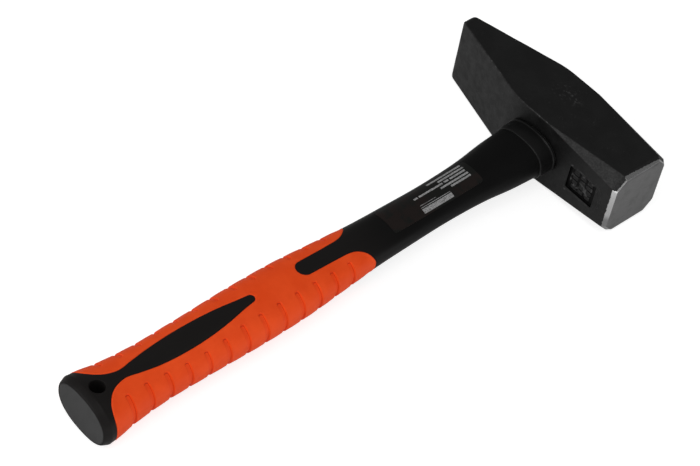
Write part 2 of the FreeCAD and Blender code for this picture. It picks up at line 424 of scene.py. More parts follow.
def grip_sleeve():
    """The orange skin, made as four like quarters that meet at the handle's edges."""
    lip_steps = np.array([1.6, 1.1, 0.75, 0.5, 0.3, 0.15, 0.05, 0.0])
    lip_share = 0.4
    inner = np.concatenate([np.linspace(0, 0.5, 9)[:-1], np.linspace(0.5, 0.95, 24), [1.0]])
    down_rows = grip_rows(1.4, grooves=True)
    strips = []
    for down in down_rows:
        open_window = 0 < window_half(down)
        width = float(half_width(down))
        end = window_angle(down) - (PARTING_GAP / width if open_window else 0)
        end = max(end, 0)
        lips = end - np.minimum(lip_steps / width, end * lip_steps / lip_steps[0] * lip_share)
        strips.append(np.concatenate([inner[:-1] * lips[0], lips]))
    quarter = np.array(strips)
    down = np.broadcast_to(np.array(down_rows)[:, None], quarter.shape)
    rise = sleeve_offset(quarter, down)
    points, faces = [], []
    for turned, mirror in ((0, 1), (math.pi, -1), (math.pi, 1), (2 * math.pi, -1)):
        angles = turned + mirror * quarter
        first = len(points) * quarter.shape[1]
        points += list(handle_points(angles, down, rise))
        for i in range(quarter.shape[0] - 1):
            for j in range(quarter.shape[1] - 1):
                a = first + i * quarter.shape[1] + j
                b = a + quarter.shape[1]
                faces.append((a, a + 1, b + 1, b) if mirror > 0 else (a, b, b + 1, a + 1))
    piece = make_piece("grip_sleeve_skin", np.concatenate(points), faces, sharp_degrees=60)
    thicken(piece, SLEEVE_SHELL)
    return piece


# ---------------------------------------------------------------- black handle jacket

# The butt's rounded end: (down, how far inside the handle's outside).
BUTT_EDGE = [
    (BUTT - 5.6, 0.0), (BUTT - 5.0, -0.05), (BUTT - 4.5, -0.12), (BUTT - 3.9, -0.05),
    (BUTT - 3.3, 0.15), (BUTT - 2.2, 0.62), (BUTT - 1.1, 1.1), (BUTT - 0.6, 1.38),
    (BUTT - 0.25, 1.68), (BUTT - 0.05, 1.9), (BUTT, 2.05),
]
# The end cap's seat: how far its wall lies inside the handle's outside, how deep it is, and how
# far in the last ring of its flat bottom lies.
CAP_SEAM = 2.15
CAP_DEEP = 1.0
CAP_MIDDLE = 8.0


def jacket_row(down, sink):
    """Angles and offsets of one loop: a sunk part under the orange, and a land in the window."""
    bound = window_angle(down) if SLEEVE_FROM <= down <= SLEEVE_TO else 0.0
    width = float(half_width(down))
    under = np.linspace(0, 1, 14) * bound
    steps = np.array([0.0, 0.05, 0.15, 0.3, 0.6])
    room = QUARTER - bound
    lands = bound + np.minimum(steps / width, room * steps)
    lands = np.concatenate([lands, lands[-1] + np.linspace(0, 1, 26)[1:] * (QUARTER - lands[-1])])
    quarter = np.concatenate([under, lands])
    offset = np.full(quarter.shape, -sink)
    land_offset = -rounded_drop(outline_distance(lands, np.full(lands.shape, down)), LAND_ROUND)
    if SLEEVE_FROM < down < SLEEVE_TO:
        offset[:len(under)] = -SLEEVE_SINK
        offset[len(under):] = land_offset if room > 0 else -SLEEVE_SINK
    else:
        offset[:len(under)] += land_offset[0]
        offset[len(under):] += land_offset
    return quarter, offset


def mirrored_offsets(offset):
    left = offset[::-1]
    return np.concatenate([offset, left[1:], offset[1:], left[1:-1]])


def shaft_jacket():
    """The black moulding, with a step down to its part under the orange skin."""
    tiny = 0.02
    downs = list(np.arange(COLLAR_END - 2, SLEEVE_FROM - 1.5, 1.6))
    downs += [SLEEVE_FROM - d for d in (1.0, 0.5, 0.25, 0.1, tiny)]
    downs += [SLEEVE_FROM + tiny] + grip_rows(JACKET_STEP)[1:-1] + [SLEEVE_TO - tiny]
    downs += [SLEEVE_TO + d for d in (tiny, 0.1, 0.25, 0.5, 1.0)]
    downs += list(np.arange(SLEEVE_TO + 1.4, BUTT_EDGE[0][0] - 0.3, 0.5))
    seat = [(BUTT - 0.1, CAP_SEAM), (BUTT - CAP_DEEP, CAP_SEAM), (BUTT - CAP_DEEP, CAP_MIDDLE)]
    rows = []
    for down, sink in [(down, 0.0) for down in downs] + BUTT_EDGE + seat:
        quarter, offset = jacket_row(down, sink)
        rows.append(handle_points(all_round(quarter), down, mirrored_offsets(offset)))
    piece = skin("shaft_jacket_moulding", rows, caps=True)
    cut(piece, hole_cutter())
    return piece


def hole_cutter():
    """A cylinder that flares into the skin, so the hole's rim is rounded on both sides."""
    flare = 0.45
    turns = np.linspace(0, 2 * math.pi, 64, endpoint=False)
    rows = []
    for side in (-1, 1):
        rings = []
        for bend in np.linspace(0, QUARTER, 6):
            radius = HOLE_RADIUS + flare * (1 - math.cos(bend))
            drop = flare * (1 - math.sin(bend))
            rings.append((radius, drop))
        clear_of_skin = (HOLE_RADIUS + flare + 0.3, -1.0)
        rings.append(clear_of_skin)
        loops = []
        for radius, drop in rings:
            x = radius * np.cos(turns)
            down = HOLE_DOWN - radius * np.sin(turns)
            rise = (1 - (np.abs(x) / half_width(down)) ** HANDLE_POWER) ** (1 / HANDLE_POWER)
            z = AXIS_Z + side * (half_thick(down) * rise - drop)
            loops.append(np.stack([x, -down, z], axis=-1))
        rows += loops[::-1] if side < 0 else loops
    return skin("hole_cutter", rows, caps=True)


def end_cap():
    """The oval plate in the butt, let in with a thin seam round it."""
    ending = [(BUTT - CAP_DEEP + 0.05, CAP_SEAM + 0.26), (BUTT - 0.25, CAP_SEAM + 0.26),
              (BUTT - 0.08, CAP_SEAM + 0.33), (BUTT, CAP_SEAM + 0.55), (BUTT, CAP_SEAM + 0.9),
              (BUTT, CAP_MIDDLE)]
    angles = np.linspace(0, 2 * math.pi, 160, endpoint=False)
    rows = [handle_points(angles, down, -sink) for down, sink in ending]
    return skin("end_cap_plate", rows, caps=True)


# ---------------------------------------------------------------- collar

def collar():
    """Ring between handle and head, with a rolled rim at the bottom and a bead at the top."""
    low, high = COLLAR_END, COLLAR_START
    width, thick = float(half_width(low)), float(half_thick(low))
    outline = [(low - 3.0, -1.5), (low - 0.3, -1.2), (low, -0.4), (low - 0.02, 0.25), (low - 0.12, 0.5),
               (low - 0.32, 0.68), (low - 0.6, 0.76), (low - 1.0, 0.8)]
    steps = np.linspace(0, 1, 8)[1:]
    outline += [(low - 1.0 - s * (low - high - 3.1), 0.8 + 0.45 * s) for s in steps]
    outline += [(high + 1.9, 1.27), (high + 1.75, 1.4), (high + 1.5, 1.62), (high + 1.1, 1.75),
                (high + 0.6, 1.72), (high + 0.25, 1.55), (high + 0.05, 1.2), (high, 0.8), (high, -2.5)]
    angles = np.linspace(0, 2 * math.pi, 160, endpoint=False)
    rows = []
    for down, out in outline:
        x, z = oval(angles, width + out, thick + out * 0.85)
        rows.append(np.stack([x, np.full(x.shape, -down), AXIS_Z + z], axis=-1))
    rows.append(rows[0])
    return skin("neck_collar_ring", rows, sharp_degrees=60)


# ---------------------------------------------------------------- head

PEIN_ROOT_X = -19.8
PEIN_TIP_HALF = 4.3
PEIN_TIP_SHIFT = 0.9
PEIN_BLEND = 60.0
PEIN_TIP_ROUND = 3.0
PEIN_CORNER_ROUND = 4.0
FACET_START_X = 4.2
FACET_ON_CHEEK = 7.3
FACET_ON_SIDE = 7.8
FACE_TILT = 0.02
EDGE_ROUND = 0.75
# The bevel round the striking face: its length, and its inset on the low and the high one of the
# cheeks, and of the sides.
BEVEL_RUN = 2.6
BEVEL_ON_CHEEK = (1.6, 3.1)
BEVEL_ON_SIDE = (2.4, 1.4)
BEVEL_FROM = FACE_X - BEVEL_RUN
# A facet's leg shrinks by this share of the octagon's inset. It also needs this share of the
# rounding's radius, to leave room for the rounds at its two ends.
LEG_SHARE = 2 - math.sqrt(2)


def pein_half(x, tip_half):
    """Height of one side above the head's middle plane: block, blend, then the wedge."""
    slope = (HALF_TALL - tip_half) / (PEIN_ROOT_X - PEIN_X)
    reach = PEIN_BLEND * math.tan(math.atan(slope) / 2)
    into = PEIN_ROOT_X + reach - x
    if into <= 0:
        return HALF_TALL
    if x > PEIN_ROOT_X - reach * math.cos(math.atan(slope)):
        return HALF_TALL - (PEIN_BLEND - math.sqrt(PEIN_BLEND ** 2 - into ** 2))
    return HALF_TALL - slope * (PEIN_ROOT_X - x)


def tip_share(from_tip, radius):
    """How much a corner round of this radius takes off, at a distance from the end."""
    if from_tip >= radius:
        return 0.0
    return radius - math.sqrt(radius ** 2 - (radius - from_tip) ** 2)


def rounded_outline(corners, radius, shares):
    """Polygon with rounded corners, and points on its straight sides at the given shares."""
    arc_steps = 4
    points = []
    count = len(corners)
    ends = []
    for i, corner in enumerate(corners):
        back = np.array(corners[i - 1]) - corner
        ahead = np.array(corners[(i + 1) % count]) - corner
        back = back / np.linalg.norm(back)
        ahead = ahead / np.linalg.norm(ahead)
        half_turn = math.acos(np.clip(-np.dot(back, ahead), -1, 1)) / 2
        reach = radius * math.tan(half_turn)
        middle = (back + ahead) / np.linalg.norm(back + ahead)
        centre = corner + middle * radius / math.cos(half_turn)
        ends.append((corner + back * reach, centre, corner + ahead * reach))
    for i, (start, centre, end) in enumerate(ends):
        for step in np.linspace(0, 1, arc_steps):
            mix = (1 - step) * (start - centre) + step * (end - centre)
            points.append(centre + mix / np.linalg.norm(mix) * radius)
        following = ends[(i + 1) % count][0]
        points += [end + share * (following - end) for share in shares]
    return np.array(points)


def head_section(x, half_y, half_z, facet_y, facet_z, radius, middle_y, tilt):
    """The head's rounded octagon at one place along it."""
    inner_z, inner_y = half_z - facet_z, half_y - facet_y
    corners = [(half_y, -inner_z), (half_y, inner_z), (inner_y, half_z), (-inner_y, half_z),
               (-half_y, inner_z), (-half_y, -inner_z), (-inner_y, -half_z), (inner_y, -half_z)]
    shares = [0.02, 0.06] + list(np.linspace(0.12, 0.88, 14)) + [0.94, 0.98]
    outline = rounded_outline([np.array(c) for c in corners], radius, shares)
    y = outline[:, 0] + middle_y
    return np.column_stack([x + tilt * (y - HALF_TALL), y, AXIS_Z + outline[:, 1]])


def body_rows():
    """Sections from the pein's tip to the bevel."""
    rows = []
    tip_steps = [PEIN_X + 5.2 * (1 - math.cos(a)) for a in np.linspace(0, QUARTER, 12)]
    length = list(np.arange(PEIN_X + 6.0, BEVEL_FROM - 0.6, 1.5))
    for x in tip_steps + length + [BEVEL_FROM - 0.25, BEVEL_FROM - 0.06]:
        from_tip = x - PEIN_X
        high = pein_half(x, PEIN_TIP_HALF + PEIN_TIP_SHIFT)
        low = pein_half(x, PEIN_TIP_HALF - PEIN_TIP_SHIFT)
        half_y = (high + low) / 2 - tip_share(from_tip, PEIN_TIP_ROUND)
        half_z = HALF_THICK - tip_share(from_tip, PEIN_CORNER_ROUND)
        radius = min(EDGE_ROUND, half_y * 0.9)
        least = radius * LEG_SHARE + 0.01
        grown = max(0.0, (x - FACET_START_X) / (BEVEL_FROM - FACET_START_X))
        facet_y = max(least, FACET_ON_CHEEK * grown)
        facet_z = max(least, FACET_ON_SIDE * grown)
        tilt = FACE_TILT * float(smoothstep(FACE_X - 25, BEVEL_FROM - 0.5, x))
        rows.append(head_section(x, half_y, half_z, facet_y, facet_z, radius, (high - low) / 2, tilt))
    return rows


def bevel_rows():
    """Sections along the bevel: (x, share of the bevel's inset)."""
    steps = [(BEVEL_FROM, 0.012), (BEVEL_FROM + 0.1, 0.04), (FACE_X - 0.12, 0.95),
             (FACE_X - 0.03, 0.99), (FACE_X, 1.05)]
    rows = []
    for x, share in steps:
        low_z, high_z = np.array(BEVEL_ON_CHEEK) * share
        low_y, high_y = np.array(BEVEL_ON_SIDE) * share
        inset_y, inset_z = (low_y + high_y) / 2, (low_z + high_z) / 2
        facet_y = FACET_ON_CHEEK - LEG_SHARE * inset_y
        facet_z = FACET_ON_SIDE - LEG_SHARE * inset_z
        loop = head_section(x, HALF_TALL - inset_y, HALF_THICK - inset_z, facet_y, facet_z,
                            EDGE_ROUND + 1.6 * share, (low_y - high_y) / 2, FACE_TILT)
        loop[:, 2] += (low_z - high_z) / 2
        rows.append(loop)
    return rows


def face_rings(rim):
    """Rings on the striking face, inside its rim."""
    centre = rim.mean(axis=0)
    centre[0] = FACE_X - FACE_TILT * HALF_TALL
    return [centre + (rim - centre) * share for share in (0.97, 0.85, 0.65, 0.4)]


def forge(piece):
    """Makes the black faces very slightly uneven, as a drop forging is."""
    vertices = piece.data.vertices
    spots = np.array([vertex.co for vertex in vertices]) / MM
    normals = np.array([vertex.normal for vertex in vertices])
    waves = [noise.noise(Vector(s) / 13.0) * 0.08 + noise.noise(Vector(s) / 4.5) * 0.02 for s in spots]
    edge = BEVEL_FROM - FACE_TILT * HALF_TALL * 2
    fade = 1 - smoothstep(edge - 5.0, edge - 1.0, spots[:, 0])
    moved = spots + normals * (np.array(waves) * fade)[:, None]
    vertices.foreach_set("co", (moved * MM).ravel())
    piece.data.update()


# The eye's half-sizes on the handle's side of the head, as in the CAD model.
EYE_BOTTOM_X = 15.0
EYE_BOTTOM_Z = 10.5


def eye_cutter():
    """The eye, an ellipse that widens from the handle's side to the top, where its rim is rounded."""
    angles = np.linspace(0, 2 * math.pi, 96, endpoint=False)
    resin_high = box_mm("eye_resin")[1]
    top = HALF_TALL
    levels = [(-top - 1, 0.0), (top - 1.6, 0.0), (top - 0.5, 0.15), (top, 0.6), (top + 1, 1.6)]
    rows = []
    for y, spare in levels:
        share = (y + HALF_TALL) / (2 * HALF_TALL)
        wide = EYE_BOTTOM_X + (resin_high[0] - EYE_BOTTOM_X) * share + spare
        thick = EYE_BOTTOM_Z + (resin_high[2] - AXIS_Z - EYE_BOTTOM_Z) * share + spare
        x = wide * np.cos(angles)
        z = AXIS_Z + thick * np.sin(angles)
        rows.append(np.stack([x, np.full(x.shape, y), z], axis=-1))
    return skin("eye_cutter", rows, caps=True)


# The size stamp, a sunk panel on the handle's side of the head, between these limits.
STAMP_X = (30.0, 51.4)
STAMP_Z = (-9.9, 8.3)
STAMP_DEPTH = 1.7
MARK_COLUMNS = 3
MARK_ROWS = 4
MARK_START = 5.2
MARK_PITCH_X = 5.6
MARK_PITCH_Z = 3.9
MARK_HALF_X = 1.8
MARK_HALF_Z = 1.15
# A mark from its foot to its top: (depth in the head, growth of its outline).
MARK_LAYERS = [(STAMP_DEPTH + 0.1, 0.4), (1.3, 0.2), (1.12, 0.0), (1.05, -0.35)]
# The curved ridge beyond the stamp: (x, height above the middle plane).
RIDGE = [(46.0, 9.9), (52.0, 9.7), (55.2, 5.4), (55.8, -0.9), (55.2, -7.6), (52.3, -11.9)]


def level_loop(x, z, y, radius, shares):
    """Rounded rectangle between two (low, high) pairs, square to the handle."""
    corners = [(x[0], z[0]), (x[1], z[0]), (x[1], z[1]), (x[0], z[1])]
    outline = rounded_outline([np.array(corner) for corner in corners], radius, shares)
    return np.column_stack([outline[:, 0], np.full(len(outline), y), AXIS_Z + outline[:, 1]])


def stamp_loop(y, spread):
    x = (STAMP_X[0] - spread, STAMP_X[1] + spread)
    z = (STAMP_Z[0] - spread, STAMP_Z[1] + spread)
    return level_loop(x, z, y, 1.2 + spread, np.linspace(0.1, 0.9, 9))


def stamp_cutter():
    bottom = STAMP_DEPTH - HALF_TALL
    levels = [(bottom, -0.75), (bottom - 0.08, -0.45), (bottom - 0.3, -0.25), (0.2 - HALF_TALL, 0.0),
              (-HALF_TALL, 0.2), (-HALF_TALL - 1, 1.2)]
    return skin("stamp_cutter", [stamp_loop(y, spread) for y, spread in levels], caps=True)


def stamp_marks():
    """Plain raised lozenges, all alike, in rows on the floor of the stamp."""
    marks = []
    for column in range(MARK_COLUMNS):
        for row in range(MARK_ROWS):
            x = STAMP_X[0] + MARK_START + MARK_PITCH_X * column
            z = sum(STAMP_Z) / 2 + MARK_PITCH_Z * (row - (MARK_ROWS - 1) / 2)
            rows = []
            for depth, grow in MARK_LAYERS:
                span_x = (x - MARK_HALF_X - grow, x + MARK_HALF_X + grow)
                span_z = (z - MARK_HALF_Z - grow, z + MARK_HALF_Z + grow)
                rows.append(level_loop(span_x, span_z, depth - HALF_TALL, 0.7, [0.5]))
            marks.append(skin("stamp_mark", rows, caps=True))
    return marks


def bead_along(name, path, wide, tall, closed=False):
    """Low rounded bead on the handle's side of the head, along (x, height) points."""
    turns = np.linspace(0, 2 * math.pi, 16, endpoint=False)
    count = len(path)
    rows = []
    for i, (x, z) in enumerate(path):
        before = path[(i - 1) % count] if closed else path[max(i - 1, 0)]
        after = path[(i + 1) % count] if closed else path[min(i + 1, count - 1)]
        step = np.array(after) - np.array(before)
        side = np.array([-step[1], step[0]]) / np.linalg.norm(step)
        share = min(max(i / (count - 1), 0.02), 0.98)
        taper = 1.0 if closed else math.sin(math.pi * share) ** 0.5
        across = wide * taper * np.cos(turns)
        y = -HALF_TALL + 0.1 - tall * taper * np.sin(turns)
        rows.append(np.column_stack([x + side[0] * across, y, AXIS_Z + z + side[1] * across]))
    if closed:
        rows.append(rows[0])
    return skin(name, rows, caps=not closed)


def stamp_ridges():
    """The curved ridge round the stamp's end, and the thin rim the die has pushed up round it."""
    along = np.linspace(0, 1, 60)
    places = np.linspace(0, 1, len(RIDGE))
    ridge = [curve_through(list(zip(places, [p[i] for p in RIDGE])))(along) for i in (0, 1)]
    rim = stamp_loop(-HALF_TALL, 0.75)
    rim_path = list(zip(rim[:, 0], rim[:, 2] - AXIS_Z))
    return [bead_along("stamp_ridge", list(zip(*ridge)), 0.9, 0.4),
            bead_along("stamp_rim", rim_path, 0.5, 0.22, closed=True)]


def hammer_head():
    rows = body_rows() + bevel_rows()
    rows += face_rings(rows[-1])
    piece = skin("hammer_head_forging", rows, caps=True, sharp_degrees=25)
    forge(piece)
    cut(piece, eye_cutter())
    cut(piece, stamp_cutter())
    join(piece, stamp_marks() + stamp_ridges())
    shade(piece.data, 28)
    return piece


# ---------------------------------------------------------------- label

LABEL_ROUND = 1.6
LABEL_RISE = 0.12


def label_film():
    """Film that follows the shaft, with round corners."""
    start, end = -LABEL_HIGH[1], -LABEL_LOW[1]
    half = (LABEL_HIGH[0] - LABEL_LOW[0]) / 2
    ends = LABEL_ROUND * (1 - np.cos(np.linspace(0, QUARTER, 8)))
    downs = list(start + ends) + list(np.linspace(start + LABEL_ROUND, end - LABEL_ROUND, 40)[1:-1])
    downs += list(end - ends[::-1])
    shares = np.linspace(-1, 1, 33)
    rows = []
    for down in downs:
        from_end = min(down - start, end - down)
        reach = half - tip_share(from_end, LABEL_ROUND)
        x = shares * reach
        angles = np.arccos(np.sign(x) * (np.abs(x) / half_width(down)) ** (HANDLE_POWER / 2))
        rows.append(handle_points(angles, down, LABEL_RISE))
    piece = skin("label_print_film", rows, closed=False)
    thicken(piece, LABEL_RISE * 0.8)
    return piece


# ---------------------------------------------------------------- materials

class Nodes:
    """A material's node tree, with short ways to add what this scene needs."""

    def __init__(self, name, **settings):
        self.material = bpy.data.materials.new(name)
        self.material.use_nodes = True
        self.tree = self.material.node_tree
        self.shader = self.tree.nodes["Principled BSDF"]
        self.place = self.add("ShaderNodeTexCoord").outputs["Object"]
        for key, value in settings.items():
            self.set(key, value)

    def add(self, kind):
        return self.tree.nodes.new(kind)

    def link(self, value, socket):
        if isinstance(value, bpy.types.NodeSocket):
            self.tree.links.new(value, socket)
        elif socket.type == "RGBA" and isinstance(value, (int, float)):
            socket.default_value = (value, value, value, 1)
        elif socket.type == "RGBA":
            socket.default_value = (*value, 1)
        else:
            socket.default_value = value

    def set(self, key, value):
        self.link(value, self.shader.inputs[key.replace("_", " ")])

    def noise(self, size_mm, detail, stretch=(1, 1, 1)):
        """Noise whose blobs are about size_mm across."""
        mapping = self.add("ShaderNodeMapping")
        self.tree.links.new(self.place, mapping.inputs["Vector"])
        mapping.inputs["Scale"].default_value = stretch
        node = self.add("ShaderNodeTexNoise")
        self.tree.links.new(mapping.outputs["Vector"], node.inputs["Vector"])
        node.inputs["Scale"].default_value = 1 / (size_mm * MM)
        node.inputs["Detail"].default_value = detail
        node.inputs["Roughness"].default_value = 0.55
        return node.outputs["Fac"]

    def math(self, operation, a, b=0.0, c=0.0):
        node = self.add("ShaderNodeMath")
        node.operation = operation
        for socket, value in zip(node.inputs, (a, b, c)):
            self.link(value, socket)
        return node.outputs[0]

    def band(self, value, low, high, out_low=0.0, out_high=1.0):
        """Maps low..high to out_low..out_high, smoothly and clamped."""
        node = self.add("ShaderNodeMapRange")
        node.interpolation_type = "SMOOTHSTEP"
        for socket, item in zip(node.inputs, (value, low, high, out_low, out_high)):
            self.link(item, socket)
        return node.outputs[0]

    def mix(self, factor, a, b):
        node = self.add("ShaderNodeMix")
        node.data_type = "RGBA"
        self.link(factor, node.inputs[0])
        self.link(a, node.inputs[6])
        self.link(b, node.inputs[7])
        return node.outputs[2]

    def bump(self, height, depth_mm, strength, before=None):
        node = self.add("ShaderNodeBump")
        node.inputs["Strength"].default_value = strength
        node.inputs["Distance"].default_value = depth_mm * MM
        self.link(height, node.inputs["Height"])
        if before:
            self.link(before, node.inputs["Normal"])
        return node.outputs["Normal"]

    def axis(self, name):
        node = self.add("ShaderNodeSeparateXYZ")
        self.tree.links.new(self.place, node.inputs[0])
        return node.outputs[name]

    def sharpness(self):
        return self.add("ShaderNodeNewGeometry").outputs["Pointiness"]

    def facing(self, name):
        """How much the surface faces along one axis."""
        node = self.add("ShaderNodeSeparateXYZ")
        self.tree.links.new(self.add("ShaderNodeNewGeometry").outputs["True Normal"], node.inputs[0])
        return node.outputs[name]


# Where the paint ends, at the head's middle and by how much it slants, and the step at the facets.
STEEL_FROM = 63.5
STEEL_SLANT = 0.056
STEEL_STEP = 1.5
# A scuffed patch on the upper cheek, and a scratch across the striking face.
SCUFF_X = -4.0
SCUFF_Y = 5.0
SCRATCH_Z = 19.3
# The painted shade on the stamp's walls starts this far inside its outline.
WALL_INSIDE = 1.4


def steel_mask(n, x, y, near_facet):
    """1 on the bare steel round the striking face and 0 on the paint, with a ragged edge."""
    ragged = n.math("MULTIPLY", n.math("SUBTRACT", n.noise(1.7, 3), 0.5), 1.2 * MM)
    from_edge = n.math("SUBTRACT", x, n.math("MULTIPLY_ADD", y, STEEL_SLANT, STEEL_FROM * MM))
    from_edge = n.math("SUBTRACT", from_edge, n.math("MULTIPLY", near_facet, STEEL_STEP * MM))
    return n.band(n.math("ADD", from_edge, ragged), -0.12 * MM, 0.12 * MM)


def paint_colour(n, x, y, near_facet):
    """Cloudy black, with painted highlight as grainy lightening on the facets, dust, worn edges and one
    scuffed patch.
    """
    cloudy = n.band(n.noise(16, 4), 0.35, 0.7)
    paint = n.mix(cloudy, 0.0028, 0.0058)
    # Painted highlight: grainy lightening of the facets stands in for the light they reflect.
    facet_highlight_grains = n.math("MULTIPLY", near_facet, n.band(n.noise(1.0, 4), 0.38, 0.66))
    paint = n.mix(facet_highlight_grains, paint, 0.018)
    speckle = n.band(n.noise(0.9, 3), 0.62, 0.74)
    dusty = n.math("MULTIPLY", speckle, n.band(n.noise(9, 3), 0.48, 0.66))
    paint = n.mix(n.math("MULTIPLY", dusty, 0.5), paint, 0.06)
    worn = n.math("MULTIPLY", n.band(n.sharpness(), 0.515, 0.55), n.band(n.noise(3, 4), 0.5, 0.66))
    paint = n.mix(n.math("MULTIPLY", worn, 0.6), paint, 0.12)
    scuff_x = n.math("MULTIPLY", n.math("SUBTRACT", x, SCUFF_X * MM), 0.6)
    scuff_y = n.math("SUBTRACT", y, SCUFF_Y * MM)
    spread = n.math("MULTIPLY_ADD", scuff_x, scuff_x, n.math("MULTIPLY", scuff_y, scuff_y))
    patch = n.math("MULTIPLY", n.band(spread, 0.00007, 0.00001), n.band(n.facing("Z"), 0.9, 0.95))
    scuffs = n.math("MULTIPLY", patch, n.band(n.noise(1.1, 4, stretch=(0.6, 1, 1)), 0.54, 0.7))
    return n.mix(scuffs, paint, 0.045)


def stamp_shade_masks(n, x, y, z):
    """Masks for painted shade in the stamp: its sides, darkened and less shiny, and its bottom, less
    shiny.
    """
    past = []
    for place_on_axis, span, middle in ((x, STAMP_X, 0.0), (z, STAMP_Z, AXIS_Z)):
        offset = n.math("SUBTRACT", place_on_axis, (middle + sum(span) / 2) * MM)
        inside = ((span[1] - span[0]) / 2 - WALL_INSIDE) * MM
        past.append(n.math("SUBTRACT", n.math("ABSOLUTE", offset), inside))
    past = n.math("MAXIMUM", *past)

    def between_depths(mask, start):
        deep_enough = n.band(y, (start - HALF_TALL) * MM, (start + 0.2 - HALF_TALL) * MM)
        not_too_deep = n.band(y, (2.4 - HALF_TALL) * MM, (2.2 - HALF_TALL) * MM)
        return n.math("MULTIPLY", n.math("MULTIPLY", mask, deep_enough), not_too_deep)

    # Painted shade: the walls get a near-black colour and lower shine, and the bottom a lower shine.
    wall_shade = n.math("MULTIPLY", n.band(past, 0.0, 0.3 * MM), n.band(past, 2.0 * MM, 1.8 * MM))
    bottom = n.band(past, 1.6 * MM, 1.2 * MM)
    return between_depths(wall_shade, 0.3), between_depths(bottom, 1.3)


def steel_colour(n, z, flat, grind):
    """A stained grey face with one faint scratch, and a brightly ground bevel with painted shade low
    down and where it faces up.
    """
    stain = n.band(n.noise(9, 4), 0.42, 0.72)
    off_line = n.math("ABSOLUTE", n.math("SUBTRACT", z, (AXIS_Z + SCRATCH_Z) * MM))
    face_colour = n.mix(stain, 0.187, 0.138)
    face_colour = n.mix(n.band(off_line, 0.7 * MM, 0.2 * MM, 0.0, 0.45), face_colour, 0.08)
    bevel_colour = n.mix(grind, 0.5, 0.7)
    # Painted shade: the bevel is darkened low down, near the floor.
    low_bevel_shade = n.band(z, (AXIS_Z - 5) * MM, (AXIS_Z - 11) * MM, 0.0, 0.65)
    bevel_colour = n.mix(low_bevel_shade, bevel_colour, 0.12)
    # Painted shade: the bevel is darker where it faces up.
    bevel_colour = n.mix(n.band(n.facing("Z"), 0.2, 0.5, 0.0, 0.6), bevel_colour, 0.2)
    return n.mix(flat, bevel_colour, face_colour)


def head_material():
    """Thin black paint over a forging, and bare ground steel at the striking face."""
    n = Nodes("head_paint")
    x, y, z = n.axis("X"), n.axis("Y"), n.axis("Z")
    slant = n.math("MULTIPLY", n.math("MULTIPLY", n.facing("Y"), n.facing("Z")), -1)
    near_facet = n.band(slant, 0.1, 0.2)
    flat = n.band(n.facing("X"), 0.93, 0.97)
    grind = n.noise(0.35, 4, stretch=(1, 0.12, 1))
    steel = steel_mask(n, x, y, near_facet)
    wall_shade, bottom = stamp_shade_masks(n, x, y, z)

    # Painted shade: the stamp's walls are darkened nearly to black.
    paint = n.mix(wall_shade, paint_colour(n, x, y, near_facet), 0.0006)
    n.set("Base Color", n.mix(steel, paint, steel_colour(n, z, flat, grind)))
    n.set("Metallic", steel)
    # Painted shade: lower shine on the stamp's walls and bottom.
    n.set("Specular IOR Level", n.band(n.math("MAXIMUM", bottom, wall_shade), 0.0, 1.0, 0.27, 0.08))
    paint_rough = n.band(n.noise(5, 4), 0.3, 0.7, 0.40, 0.54)
    face_rough = n.band(grind, 0.3, 0.7, 0.40, 0.52)
    n.set("Roughness", n.mix(steel, paint_rough, n.mix(flat, 0.26, face_rough)))
    fine = n.bump(n.noise(0.8, 4), 0.10, 0.8)
    coarse = n.bump(n.noise(2.6, 3), 0.08, 0.5, fine)
    ground = n.bump(grind, 0.012, 0.5)
    n.set("Normal", n.mix(steel, coarse, ground))
    return n.material


# The handle is greyer towards the butt, from the first distance down to the second.
GREYING_SPAN = (130, 180)


def black_plastic(name, rough=0.42, ior=1.17):
    """Moulded plastic with a fine grain, faint smears in its shine, and a greyer butt end."""
    n = Nodes(name)
    smear = n.noise(14, 4, stretch=(1, 0.35, 1))
    # Two tones: darker towards the head, lighter and greyer towards the butt.
    headward_tone = n.mix(smear, 0.00357, 0.00525)
    buttward_tone = n.mix(smear, (0.0100, 0.0090, 0.0087), (0.0126, 0.0114, 0.0110))
    butt_end = n.band(n.axis("Y"), -GREYING_SPAN[0] * MM, -GREYING_SPAN[1] * MM)
    n.set("Base Color", n.mix(butt_end, headward_tone, buttward_tone))
    n.set("Roughness", n.band(smear, 0.3, 0.7, rough - 0.04, rough + 0.07))
    n.set("IOR", ior)
    grain = n.bump(n.noise(0.35, 2), 0.02, 0.5)
    n.set("Normal", n.bump(n.noise(6, 2), 0.05, 0.25, grain))
    return n.material


def orange_rubber():
    """Matte soft rubber, with painted shade in the grooves."""
    n = Nodes("grip_rubber")
    patch = n.noise(11, 4)
    colour = n.mix(n.band(patch, 0.3, 0.7), (0.86, 0.068, 0.006), (0.92, 0.082, 0.010))
    # Painted shade: the hollows found by pointiness, the grooves, are darkened.
    low = n.band(n.sharpness(), 0.43, 0.492)
    colour = n.mix(low, (0.60, 0.04, 0.004), colour)
    n.set("Base Color", colour)
    n.set("Roughness", n.band(patch, 0.3, 0.7, 0.52, 0.62))
    n.set("Specular IOR Level", 0.18)
    grain = n.bump(n.noise(0.4, 2), 0.02, 0.4)
    n.set("Normal", n.bump(n.noise(4, 3), 0.05, 0.3, grain))
    return n.material


def cap_plastic():
    n = Nodes("cap_plastic")
    streak = n.noise(4.5, 4, stretch=(1, 1, 0.25))
    n.set("Base Color", n.mix(n.band(streak, 0.38, 0.62), 0.017, 0.036))
    n.set("Roughness", n.band(streak, 0.3, 0.7, 0.5, 0.66))
    n.set("Specular IOR Level", 0.3)
    n.set("Normal", n.bump(n.noise(0.35, 3), 0.03, 0.6))
    return n.material


